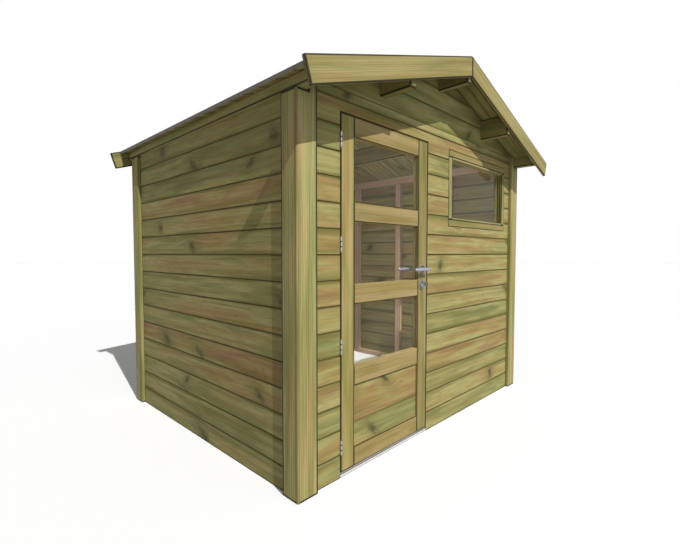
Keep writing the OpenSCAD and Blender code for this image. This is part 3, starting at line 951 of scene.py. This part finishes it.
def tilt(piece, side):
    """Lays a piece that was made flat, with X from the eave, on one slope of the roof."""
    right = side == "right"
    piece.rotation_euler = (0, -ROOF_PITCH, math.pi if right else 0)
    piece.location = (EAVE_HALF if right else -EAVE_HALF, 0, EAVE_Z)
    return settle(piece)


def roof_boards():
    """Boards from eave to ridge on each slope, grey at their ends."""
    top = -FELT - FELT_GAP - BOARD_SKIN
    low = (-EAVE_SPARE, -ROOF_Y + BOARD_GAP / 2, top - ROOF_BOARD_T + 2 * BOARD_SKIN)
    high = (RIDGE_RUN + RIDGE_SPARE, -ROOF_Y + BOARD_COVER - BOARD_GAP / 2, top)
    for side, pitch, seed in (("left", ROOF_PITCH, 240.0), ("right", -ROOF_PITCH, 280.0)):
        node = "roof_deck_" + side
        name = node + "_boards"
        materials = board_pair(
            name, (math.pi / 2, 0, pitch), -ROOF_Y, BOARD_COVER, seed,
            end_tone=ROOF_END_TONE, end_cover=ROOF_END_COVER)
        board = tongued_board(name, low, high, X, Y, materials)
        repeated(board, math.ceil(2 * ROOF_Y / BOARD_COVER), (0, BOARD_COVER, 0))
        tilt(board, side)
        fit_to(board, node)
        stand_for(board, node)


def roof_felt():
    """Two lapped courses on each slope and a cap over the ridge."""
    eave_run = (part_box("roof_felt")[0].x + EAVE_HALF) / math.cos(ROOF_PITCH)
    lap = (RIDGE_RUN + eave_run) / 2
    parts = []
    for side in ("left", "right"):
        lower = block("felt", (eave_run, -ROOF_Y, -FELT), (lap + FELT_LAP, ROOF_Y, FELT_LAYER - FELT))
        upper = block("felt", (lap, -ROOF_Y, -FELT), (RIDGE_RUN, ROOF_Y, FELT_LAYER - FELT))
        with editing(upper, "FACE"):
            pick_faces(upper, lambda middle, normal: normal.x < -ALIGNED)
            bpy.ops.transform.translate(value=(0, 0, FELT_LAYER))
        cap = block("felt", (RIDGE_RUN - RIDGE_CAP, -ROOF_Y, -FELT_LAYER), (RIDGE_RUN, ROOF_Y, 0))
        parts += [tilt(part, side) for part in (lower, upper, cap)]
    piece = join(parts, "roof_felt_courses")
    dress(piece, FELT_GREY)
    stand_for(piece, "roof_felt")


# Door leaf

def door_stiles():
    """Stiles with dark lines along their sides and ends only, the lock's in a deeper tone."""
    stiles = eased("door_stiles", STILE + LOCK_STILE, FINE_ARRIS, WIDE_LINE)
    low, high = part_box("door_stiles")
    rim = FINE_ARRIS + WIDE_LINE
    for polygon in stiles.data.polygons:
        middle = polygon.center
        lock_side = middle.x > (low.x + high.x) / 2
        start = high.x - STILE_W if lock_side else low.x
        inner = start + rim < middle.x < start + STILE_W - rim
        if inner and low.z + rim < middle.z < high.z - rim:
            polygon.material_index = FACE
        if lock_side:
            polygon.material_index += len(STILE)


def door_rails():
    """Rails with plain faces towards the glass, the second and third from below with plain upper edges."""
    rails = eased("door_rails", RAIL, FINE_ARRIS, EDGE_LINE)
    low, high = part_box("door_rails")
    faces = rails.data.polygons
    fronts = [face.center for face in faces if face.area > RAIL_FRONT and abs(face.normal.y) > MAINLY]
    for polygon in faces:
        middle = polygon.center
        front = min(fronts, key=lambda centre: (centre - middle).length)
        inside = low.y + FINE_ARRIS < middle.y < high.y - FINE_ARRIS
        pale = PALE_TOPS[0] < front.z < PALE_TOPS[1]
        if inside or pale and middle.z > front.z + EDGE_LINE:
            polygon.material_index = FACE


def door_panel():
    """The panel's two broad boards."""
    low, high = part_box("door_panel")
    name = "door_panel_boards"
    materials = board_pair(
        name, GRAIN["x"], PANEL_JOINT, PANEL_COVER, PANEL_SEED, PANEL_KNOTS, SOFT_JOINT_TONES,
        knot_step=PANEL_KNOT_STEP)
    skin = Vector((-OVERSHOOT, BOARD_SKIN, BOARD_GAP / 2))
    low = Vector((low.x, low.y, PANEL_JOINT - PANEL_COVER)) + skin
    high = Vector((high.x, high.y, PANEL_JOINT)) - skin
    boards = tongued_board(name, low, high, X, Z, materials)
    repeated(boards, PANEL_BOARDS, (0, 0, PANEL_COVER))
    fit_to(boards, "door_panel")
    stand_for(boards, "door_panel")


# Door furniture

def hinge_plate(side, axis, front, back, foot, numbers):
    """A plate beside the hinge's axis, with rounded corners, screws, and lugs to its knuckles."""
    pitch = (HINGE_H + KNUCKLE_GAP) / KNUCKLES
    outer = axis.x + side * HINGE_GAP / 2
    inner = outer - side * PLATE_T
    left, right = sorted((outer, inner))
    plate = block("plate", (left, front, foot), (right, back, foot + HINGE_H))
    with editing(plate, "EDGE"):
        pick_edges(plate, lambda middle, run: abs(run.x) > ALIGNED and middle.y > (front + back) / 2)
        bpy.ops.mesh.bevel(offset=PLATE_CORNER, segments=4, affect="EDGES")
    parts = [plate]
    for number in numbers:
        low = foot + number * pitch
        top = low + pitch - KNUCKLE_GAP
        parts.append(block("lug", (left, axis.y, low), (right, front, top)))
        knuckle = rod("knuckle", (*axis, low), (*axis, top), KNUCKLE_R)
        # The knuckles' eased rims take the dark steel: painted shade in the gaps between the knuckles
        dress(knuckle, STEEL, GAP_SHADE_STEEL)
        with editing(knuckle, "EDGE"):
            pick_edges(knuckle, lambda middle, run: abs(run.z) < SQUARE_TO)
            bpy.ops.mesh.bevel(offset=KNUCKLE_RIM, segments=2, affect="EDGES", material=EDGE)
        parts.append(knuckle)
    for share, aside in SCREW_PLACES:
        seat = Vector((inner, (front + back) / 2 + aside, foot + share * HINGE_H))
        screw = rod("screw", seat, seat - Vector((side * SCREW_PROUD, 0, 0)), SCREW_R, SCREW_SIDES)
        with editing(screw, "FACE"):
            pick_faces(screw, lambda middle, normal: normal.x * side < -ALIGNED)
            bpy.ops.mesh.inset(thickness=SCREW_R * SOCKET_RIM)
            pull((side * SCREW_PROUD * SOCKET_DEPTH, 0, 0))
        parts.append(screw)
    return parts


def hinges():
    """Each half is modelled once, at the lowest hinge, and repeated up the door."""
    low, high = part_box("hinge_frame_plates")
    axis = Vector((low.x + KNUCKLE_R, low.y + KNUCKLE_R))
    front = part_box("door_stiles")[0].y
    step = (high.z - low.z - HINGE_H) / (HINGES - 1)
    halves = {
        "hinge_frame_plates": hinge_plate(-1, axis, front, high.y, low.z, (0, 2)),
        "hinge_door_plates": hinge_plate(1, axis, front, high.y, low.z, (1,)),
    }
    pin = rod("pin", (*axis, low.z - PIN_TIP), (*axis, low.z + HINGE_H + PIN_TIP), PIN_R)
    halves["hinge_frame_plates"].append(pin)
    for node, parts in halves.items():
        for part in parts:
            if not part.data.materials:
                dress(part, STEEL)
        half = join(parts, node + "_turned")
        repeated(half, HINGES, (0, 0, step))
        stand_for(smooth(half), node)


def rose(node):
    """A turned rose with an eased rim and a raised collar, on each face of the door."""
    low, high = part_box(node)
    middle = (low + high) / 2
    radius = (high.x - low.x) / 2
    face = low.y + ROSE_T
    name = node + "_turned"
    disc = rod(name, (middle.x, face, middle.z), (middle.x, low.y, middle.z), radius, ROSE_SIDES)
    with editing(disc, "FACE"):
        pick_faces(disc, lambda centre, normal: normal.y < -ALIGNED)
        bpy.ops.mesh.inset(thickness=radius - COLLAR_R)
        pull((0, -COLLAR_H, 0))
    with editing(disc, "EDGE"):
        pick_edges(disc, lambda centre, run: abs(run.y) < SQUARE_TO and centre.y < face - COLLAR_H)
        bpy.ops.mesh.bevel(offset=RIM, segments=3, affect="EDGES")
    pair = join([disc, on_other_face(disc, middle.y)], name)
    dress(pair, SATIN)
    stand_for(smooth(pair), node)


def lever():
    """A straight grip with half-round ends on a waisted neck, on each face of the door."""
    low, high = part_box("door_lever")
    rose_low, rose_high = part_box("lever_roses")
    spindle = (rose_low + rose_high) / 2
    foot = rose_low.y + ROSE_T / 2
    grip_y = low.y + GRIP_R
    grip = rod("grip", (low.x, grip_y, spindle.z), (high.x, grip_y, spindle.z), GRIP_R)
    with editing(grip, "EDGE"):
        pick_edges(grip, lambda middle, run: abs(run.x) < SQUARE_TO)
        bpy.ops.mesh.bevel(offset=GRIP_R * ROUND_END, segments=6, affect="EDGES")
    step = (grip_y - foot) / 3
    neck = rod("neck", (spindle.x, foot, spindle.z), (spindle.x, foot + step, spindle.z), NECK_R)
    with editing(neck, "FACE"):
        pick_faces(neck, lambda middle, normal: normal.y < -ALIGNED)
        for place, size in ((2, NECK_WAIST), (3, 1 / NECK_WAIST)):
            pull((0, step, 0))
            grow((size, 1, size), (spindle.x, foot + place * step, spindle.z))
    half = Vector((SPINDLE / 2, 0, SPINDLE / 2))
    start = Vector((spindle.x, foot, spindle.z))
    end = Vector((spindle.x, 2 * spindle.y - foot, spindle.z))
    bar = block("spindle", start - half, end + half)
    parts = [grip, neck]
    parts += [on_other_face(part, spindle.y) for part in (grip, neck)]
    pair = join(parts + [bar], "door_lever_turned")
    dress(pair, SATIN)
    stand_for(smooth(pair), "door_lever")


def lock():
    """Cylinder, plug, and a key with a duller bow."""
    smooth(eased("lock_cylinder", (STEEL, STEEL), METAL_ARRIS))
    smooth(eased("lock_plug", (BRASS, BRASS), METAL_ARRIS))
    key = eased("key", (STEEL, STEEL, SATIN), METAL_ARRIS)
    bow_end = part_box("key")[0].y + KEY_BOW
    paint(key, BARE, lambda middle, normal: middle.y < bow_end)
    smooth(key)


def door():
    """The leaf with its furniture, and the threshold under it."""
    door_stiles()
    door_rails()
    door_panel()
    dress(frame["nodes"]["door_panes"], GLASS)
    hinges()
    rose("lever_roses")
    rose("lock_roses")
    lever()
    lock()
    eased("threshold", PALE, FINE_ARRIS)


# Window

def window():
    """Casing, lining and pane."""
    eased("window_casing_rails", PLANED["x"], CASING_ARRIS)
    eased("window_casing_stiles", PLANED["z"], CASING_ARRIS)
    eased("window_lining_rails", LINING, FINE_ARRIS)
    eased("window_lining_stiles", PLANED["z"], FINE_ARRIS)
    dress(frame["nodes"]["window_pane"], GLASS)


# Floor, light and camera

def seen_directly(tree):
    """1 for rays from the camera, by reflection or through glass."""
    path = add(tree, "LightPath").outputs
    seen = calc(tree, "MAXIMUM", path["Is Camera Ray"], path["Is Glossy Ray"])
    return calc(tree, "MAXIMUM", seen, path["Is Transmission Ray"])


def floor():
    """A pale floor that is white to the eye and throws less light back on the shed."""
    bpy.ops.object.select_all(action="DESELECT")
    bpy.ops.mesh.primitive_plane_add(size=FLOOR_SIZE, location=(0, 0, 0))
    ground = bpy.context.object
    ground.name = "floor"
    material, tree, surface = new_material("pale_floor")
    seen = seen_directly(tree)
    shade = blend(tree, seen, grey(FLOOR_BOUNCE), grey(FLOOR_SEEN))
    glow = blend(tree, seen, grey(0.0), grey(FLOOR_GLOW))
    tree.links.new(shade, surface.inputs["Base Color"])
    tree.links.new(glow, surface.inputs["Emission Color"])
    surface.inputs["Emission Strength"].default_value = 1.0
    surface.inputs["Roughness"].default_value = 1.0
    surface.inputs["Specular IOR Level"].default_value = 0.0
    dress(ground, material)


def lamp(kind, place, strength, turn=(0, 0, 0)):
    """Adds a light at its place and turn."""
    bpy.ops.object.select_all(action="DESELECT")
    bpy.ops.object.light_add(type=kind, location=place, rotation=turn)
    made = bpy.context.object
    made.data.energy = strength
    return made


def lights():
    """A sun from the front, a soft fill before the shed, and a little light inside."""
    turn = Vector(SUN_TRAVEL).to_track_quat("-Z", "Y").to_euler()
    sun = lamp("SUN", SUN_PLACE, SUN_STRENGTH, turn)
    sun.data.angle = SUN_ANGLE
    fill = lamp("AREA", FILL_PLACE, FILL_LIGHT, (math.pi / 2, 0, 0))
    fill.data.shape = "RECTANGLE"
    fill.data.size, fill.data.size_y = FILL_SIZE
    fill.data.color = FILL_COLOUR
    inside = lamp("POINT", ROOM_PLACE, ROOM_LIGHT)
    inside.data.shadow_soft_size = ROOM_LIGHT_R
    for hidden in (fill, inside):
        hidden.visible_camera = False
        hidden.visible_glossy = False
        hidden.visible_transmission = False


def backdrop():
    """A surround that is white to the eye and gives the shed only a little light."""
    world = bpy.data.worlds.new("studio")
    bpy.context.scene.world = world
    world.use_nodes = True
    tree = world.node_tree
    strength = add(tree, "MapRange", {"Value": seen_directly(tree), "To Min": SKY_STRENGTH, "To Max": 1.0})
    sky = tree.nodes["Background"]
    sky.inputs["Color"].default_value = (1, 1, 1, 1)
    tree.links.new(strength.outputs[0], sky.inputs["Strength"])


def camera():
    """The photograph's view."""
    bpy.ops.object.select_all(action="DESELECT")
    turn = (math.pi / 2 + CAMERA_PITCH, 0, -CAMERA_YAW)
    bpy.ops.object.camera_add(location=CAMERA_PLACE, rotation=turn)
    view = bpy.context.object
    view.data.sensor_width = SENSOR_W
    view.data.lens = CAMERA_LENS
    bpy.context.scene.camera = view
    bpy.context.scene.view_settings.view_transform = "Standard"


corner_posts()
wall_frames()
roof_timbers()
walls()
roof_boards()
roof_felt()
door()
window()
floor()
lights()
backdrop()
camera()
